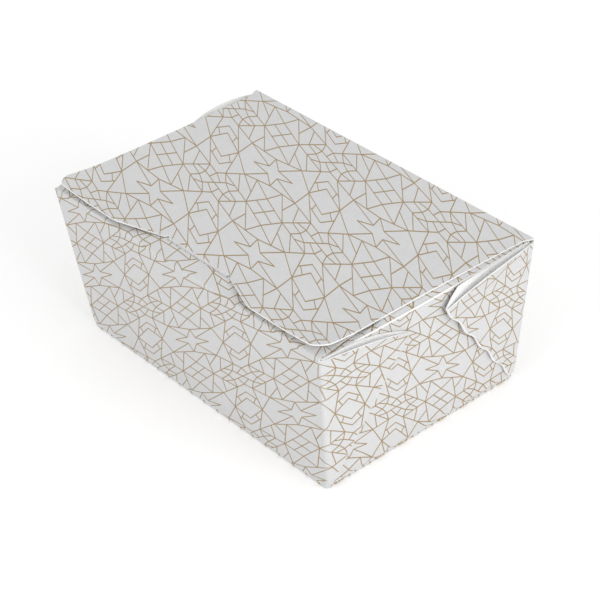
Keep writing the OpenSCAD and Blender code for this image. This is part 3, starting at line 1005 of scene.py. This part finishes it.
def plain_board(name, colour, relief):
    material, tree = new_material(name)
    mottle, grain, streaks = fibre_fields(tree)
    tone = ((mottle + grain) * 0.5 - 0.5) * PLAIN_TONE + 1.0
    rough = 0.7 + mottle * 0.15
    finish_material(tree, shaded(tree, colour, tone), rough, grain + streaks * 0.5, relief)
    return material


board_finishes = [
    printed_board(),
    plain_board("white_inside", INSIDE, INSIDE_RELIEF),
    plain_board("cut_edge", EDGE, EDGE_RELIEF),
]
print("finishes:", [m.name for m in board_finishes])

# %% [markdown]
# ## Springing the wings
#
# The rule: a point of the lid rises with the square of how far it is along the
# curl, and only beyond the ends of the slit. The lid's front corners rise a
# little more. The strip below the lid's fold stays where it is.

# %% Wing tree
WING_RISE = 1.8
CURL_LENGTH = 22.0
END_CURL_WIDTH = 26.0
CORNER_RISE = 1.5
FOLD_TOP_Z = FRONT_FOLD_Z + LID_GAP

spring_tree, socket = shape_tree("wing_spring", {
    "Slit Half": SLIT_HALF_LENGTH * MM, "Wing Start": WING_START * MM, "Wing Rise": WING_RISE * MM,
    "Front Edge": WING_FRONT_Y * MM, "Curl Length": CURL_LENGTH * MM, "Hinge": HINGE[0] * MM,
    "Lid Half": LID_HALF * MM, "End Curl Width": END_CURL_WIDTH * MM, "Corner Rise": CORNER_RISE * MM,
})
place = Wire.node(spring_tree, "GeometryNodeInputPosition")
axes = Wire.node(spring_tree, "ShaderNodeSeparateXYZ", None, {0: place})
sideways, y = axes.maths("ABSOLUTE"), axes.other(1)
across = ((sideways - socket["Slit Half"]) / (socket["Wing Start"] - socket["Slit Half"])).clamped()
curl = ((socket["Front Edge"] + socket["Curl Length"] - y) / socket["Curl Length"]).most(0.0)
outward = ((sideways - socket["Lid Half"]) / socket["End Curl Width"] + 1.0).most(0.0)
forward = ((socket["Hinge"] - y) / (socket["Hinge"] - socket["Front Edge"])).most(0.0)
rise = socket["Wing Rise"] * across * (2.0 - across) * curl * curl
rise = rise + socket["Corner Rise"] * outward * outward * forward ** 1.5
on_top = axes.other(2).step((FOLD_TOP_Z - 0.4) * MM, FOLD_TOP_Z * MM)
offset = Wire.node(spring_tree, "ShaderNodeCombineXYZ", None, {2: rise * on_top})
end_tree(spring_tree, socket["Geometry"], offset, board_finishes[0])
print("nodes in the wing tree:", len(spring_tree.nodes))

# %% [markdown]
# ## Waves in the sprung folds
#
# The fold of each back web has crumpled into a row of waves. Each point near such
# a fold knows its distance from the base corner and which way the wave pushes it.
# A sine of that distance moves the fold in and out.

# %% Wave tree
WAVE_DEPTH = 0.45
WAVE_LENGTH = 12.6
WAVE_START = 14.65
wave_sizes = {"Depth": WAVE_DEPTH * MM, "Length": WAVE_LENGTH * MM, "Start": WAVE_START * MM}
wave_tree, socket = shape_tree("fold_waves", wave_sizes)


def stored(tree, name):
    return Wire.node(tree, "GeometryNodeInputNamedAttribute", {"data_type": "FLOAT"}, {"Name": name})


run = stored(wave_tree, "wave_run") * MM
swing = ((run - socket["Start"]) * (2 * np.pi) / socket["Length"]).maths("SINE")
push = swing * stored(wave_tree, "wave_hold") * socket["Depth"]
parts = {i: stored(wave_tree, f"wave_{axis}") for i, axis in enumerate("xyz")}
way = Wire.node(wave_tree, "ShaderNodeCombineXYZ", None, parts)
end_tree(wave_tree, socket["Geometry"], way.scaled(push), board_finishes[0])
print("nodes in the wave tree:", len(wave_tree.nodes))

# %% [markdown]
# ## Slack in the board
#
# Real panels are never dead flat. A low, fixed noise pushes each wall and the
# front flap in or out along its normal, and the slack attribute keeps the creases
# where they are.

# %% Slack tree
SLACK_DEPTH = 0.6
SLACK_SCALE = 22.0
slack_tree, socket = shape_tree("board_slack", {"Depth": SLACK_DEPTH * MM, "Scale": SLACK_SCALE})
place = Wire.node(slack_tree, "GeometryNodeInputPosition")
slack = stored(slack_tree, "slack")
inputs = {"Vector": place, "Scale": socket["Scale"], "Detail": 1.0}
field = Wire.node(slack_tree, "ShaderNodeTexNoise", None, inputs)
push = (field - 0.5) * slack * socket["Depth"]
normal = Wire.node(slack_tree, "GeometryNodeInputNormal")
end_tree(slack_tree, socket["Geometry"], normal.scaled(push), board_finishes[0])
print("nodes in the slack tree:", len(slack_tree.nodes))

# %% [markdown]
# ## From surface to board
#
# Each surface is merged along its patches' shared edges and turned so that the
# printed side faces out. Then the trees shape it, and Solidify gives it the
# board's thickness, with the white inside and the cut edge in slots of their own.


# %% The start of each web, where the board is pressed together
ROOT_TOP_Z = 8.0
ROOT_REACH = 6.0
ROOT_DEPTH = -0.15
PRINTED, INNER, CUT = range(3)


def print_web_roots(mesh):
    """Gives the printed finish to inner faces that are squeezed out at a web's start."""
    for face in mesh.polygons:
        x, y, z = np.array(face.center) / MM
        place = np.array([abs(x), -abs(y), z])
        near_corner = z < ROOT_TOP_Z and abs(y) > HALF_BASE[1] - ROOT_REACH
        squeezed_out = (place - web_root) @ out_of_end > ROOT_DEPTH
        if face.material_index == INNER and near_corner and squeezed_out:
            face.material_index = PRINTED


# %% Make a board piece
MERGE = 0.002
SHARP_TURN = np.radians(52)


def board_object(name, blank, facing, trees):
    mesh = blank.mesh(name)
    work = bmesh.new()
    work.from_mesh(mesh)
    bmesh.ops.remove_doubles(work, verts=work.verts, dist=MERGE * MM)
    bmesh.ops.recalc_face_normals(work, faces=work.faces)
    spot, way = facing
    probe = min(work.faces, key=lambda face: (face.calc_center_median() - Vector(spot)).length)
    if probe.normal.dot(Vector(way)) < 0:
        bmesh.ops.reverse_faces(work, faces=work.faces)
    work.to_mesh(mesh)
    work.free()
    obj = bpy.data.objects.new(name, mesh)
    bpy.context.scene.collection.objects.link(obj)
    for tree, values in trees:
        add_tree(obj, tree, values)
    apply_all(obj)
    obj.data.materials.clear()
    for material in board_finishes:
        obj.data.materials.append(material)
    solid = obj.modifiers.new("thickness", "SOLIDIFY")
    solid.thickness = BOARD * MM
    solid.offset = 0.0
    solid.use_even_offset = False
    solid.material_offset = INNER
    solid.material_offset_rim = CUT
    apply_all(obj)
    print_web_roots(obj.data)
    obj.data.shade_smooth()
    obj.data.set_sharp_from_angle(angle=SHARP_TURN)
    obj.data.name = name
    print(name, "has", len(obj.data.polygons), "faces")
    return obj


# %% The tray and the lid as board
FRONT_WALL_MIDDLE = (0.0, -(HALF_TOP[1] + HALF_BASE[1]) / 2 * MM, END_FOLD_Z / 2 * MM)
LID_MIDDLE = (0.0, 0.0, LID_MIDDLE_Z * MM)

carton_sheet = board_object(
    "carton_sheet", carton,
    (FRONT_WALL_MIDDLE, (0, -1, 0)),
    [(slack_tree, {"Depth": SLACK_DEPTH * MM, "Scale": SLACK_SCALE}), (wave_tree, wave_sizes)],
)
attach(carton_sheet, "carton")
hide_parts("carton_body")

lid_sheet = board_object(
    "lid_sheet", lid,
    (LID_MIDDLE, (0, 0, 1)),
    [(spring_tree, {"Wing Rise": WING_RISE * MM})],
)
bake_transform(lid_sheet)
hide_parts("lid_flap")

# %% [markdown]
# ## Floor, light and background
#
# The box stands on a plain pale floor. The light is a bright even sky with a
# large soft lamp on the right, which makes the end wall the lightest side, and a
# weaker one in front. The floor and the sky look a little brighter than they are
# to camera, glossy and transmission rays alone, so that the background is white
# without more light on the box.

# %% Floor
FLOOR_HALF = 3.0
FLOOR_GLOW = 0.16
FLOOR_COLOUR = (0.95, 0.95, 0.95, 1.0)
WHITE = (1.0, 1.0, 1.0, 1.0)


def background_rays(tree):
    """1 for camera, glossy and transmission rays, and 0 for the rays that light things."""
    rays = Wire.node(tree, "ShaderNodeLightPath")
    return rays.most(rays.other("Is Glossy Ray")).most(rays.other("Is Transmission Ray"))


floor_mesh = bpy.data.meshes.new("floor")
floor_corners = [(FLOOR_HALF * x, FLOOR_HALF * y, 0) for x, y in ((-1, -1), (1, -1), (1, 1), (-1, 1))]
floor_mesh.from_pydata(floor_corners, [], [(0, 1, 2, 3)])
floor = bpy.data.objects.new("floor", floor_mesh)
bpy.context.scene.collection.objects.link(floor)
floor_material, tree = new_material("pale_floor")
shader = Wire.node(tree, "ShaderNodeBsdfDiffuse", None, {"Color": FLOOR_COLOUR})
glow_strength = background_rays(tree) * FLOOR_GLOW
glow = Wire.node(tree, "ShaderNodeEmission", None, {"Color": WHITE, "Strength": glow_strength})
both = Wire.node(tree, "ShaderNodeAddShader", None, {0: shader, 1: glow})
out = tree.nodes.new("ShaderNodeOutputMaterial")
tree.links.new(both.socket, out.inputs["Surface"])
floor_mesh.materials.append(floor_material)
print("the floor is", 2 * FLOOR_HALF, "m wide")

# %% Sky and lamp
SKY = 0.8
world = bpy.data.worlds.new("sky")
bpy.context.scene.world = world
world.use_nodes = True
tree = world.node_tree
tree.nodes.clear()
strength = background_rays(tree) * (1.0 - SKY) + SKY
sky = Wire.node(tree, "ShaderNodeBackground", None, {"Color": WHITE, "Strength": strength})
out = tree.nodes.new("ShaderNodeOutputWorld")
tree.links.new(sky.socket, out.inputs["Surface"])


LAMP_SIZE = 0.7
LAMP_AIM = Vector((0, 0, 0.03))


def add_lamp(name, place, power):
    data = bpy.data.lights.new(name, "AREA")
    data.size = LAMP_SIZE
    data.energy = power
    lamp = bpy.data.objects.new(name, data)
    lamp.location = place
    lamp.rotation_mode = "QUATERNION"
    lamp.rotation_quaternion = (Vector(place) - LAMP_AIM).to_track_quat("Z", "Y")
    bpy.context.scene.collection.objects.link(lamp)
    return lamp


add_lamp("right_lamp", (1.15, 0.0, 0.5), 4.9)
add_lamp("front_lamp", (0.15, -1.15, 0.55), 2.0)
bpy.context.scene.view_settings.view_transform = "Standard"

# %% [markdown]
# ## Update the scene
#

# %% Update the view layer
bpy.context.view_layer.update()
